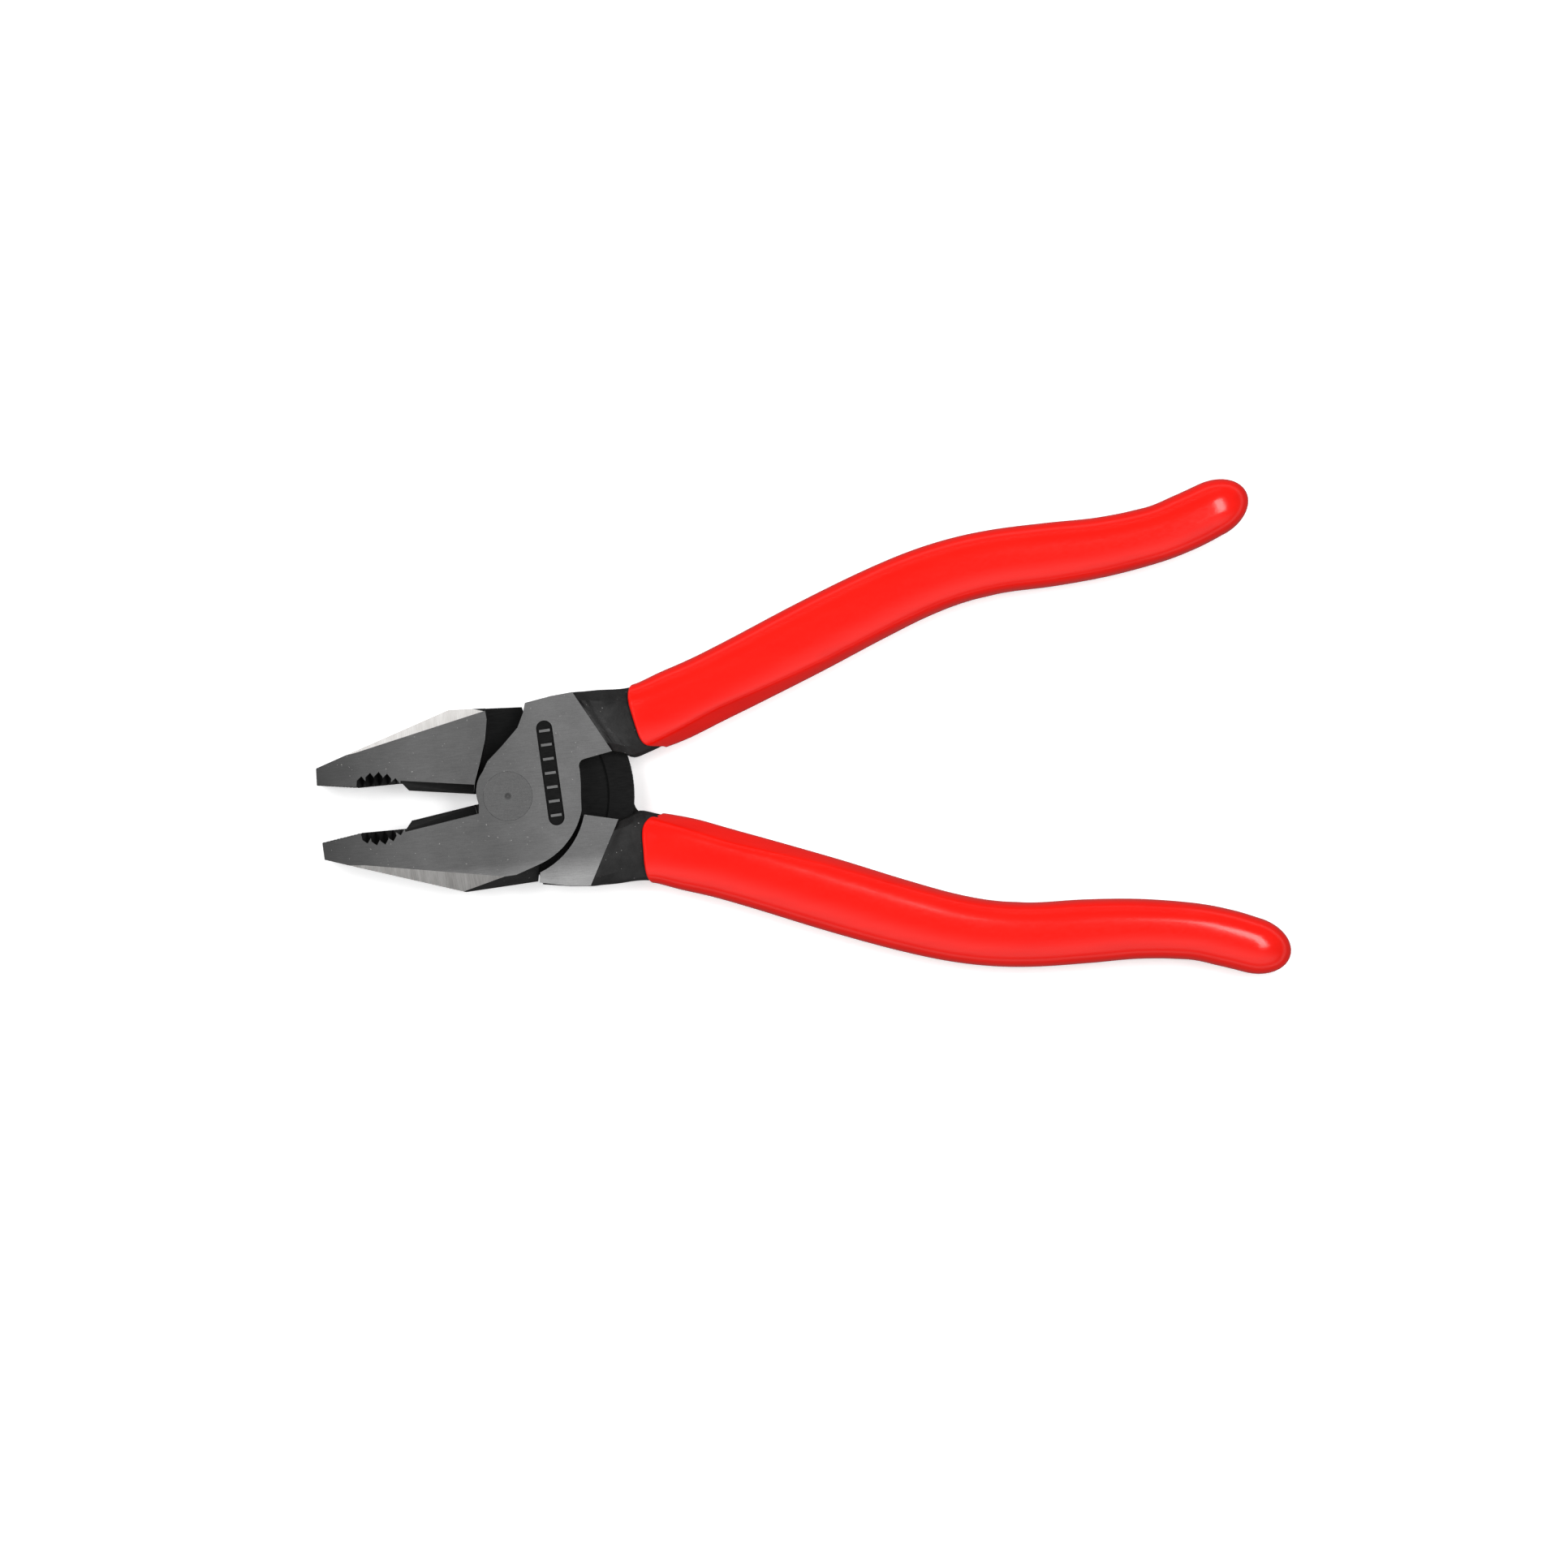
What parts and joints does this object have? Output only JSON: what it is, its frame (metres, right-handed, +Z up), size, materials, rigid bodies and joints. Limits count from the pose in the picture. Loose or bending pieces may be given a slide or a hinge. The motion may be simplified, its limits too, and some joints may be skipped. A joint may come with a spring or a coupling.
{
  "type": "lineman pliers",
  "caption": "High-leverage lineman pliers with a riveted lap joint, flat serrated jaw tips, a toothed pipe grip, side cutters and curved dip-coated handles",
  "frame": {"origin": "centre of the pivot on the ground back face of the head", "axes": "+X along the tool from the jaws to the handles, +Y across the tool on the side of the front lever's handle, +Z up through the thickness of the head, from the back face to the front face"},
  "size_m": [0.2186, 0.1144, 0.013],
  "materials": {
    "forged_steel": "oil-blackened forged tool steel with fine-ground faces and brighter ground facets on the jaws",
    "rivet_steel": "steel ground flush with the head",
    "grip_plastic": "smooth glossy red dipped plastic"
  },
  "bodies": {
    "rear_half": {"rear_lever": "forged_steel", "joint_rivet": "rivet_steel", "rear_grip": "grip_plastic"},
    "front_half": {"front_lever": "forged_steel", "front_grip": "grip_plastic"}
  },
  "joints": [
    {"name": "pivot", "type": "hinge", "parent": "rear_half", "child": "front_half", "pos_m": [0, 0, 0], "axis": [0, 0, 1], "range_deg": [-17, 0]}
  ]
}
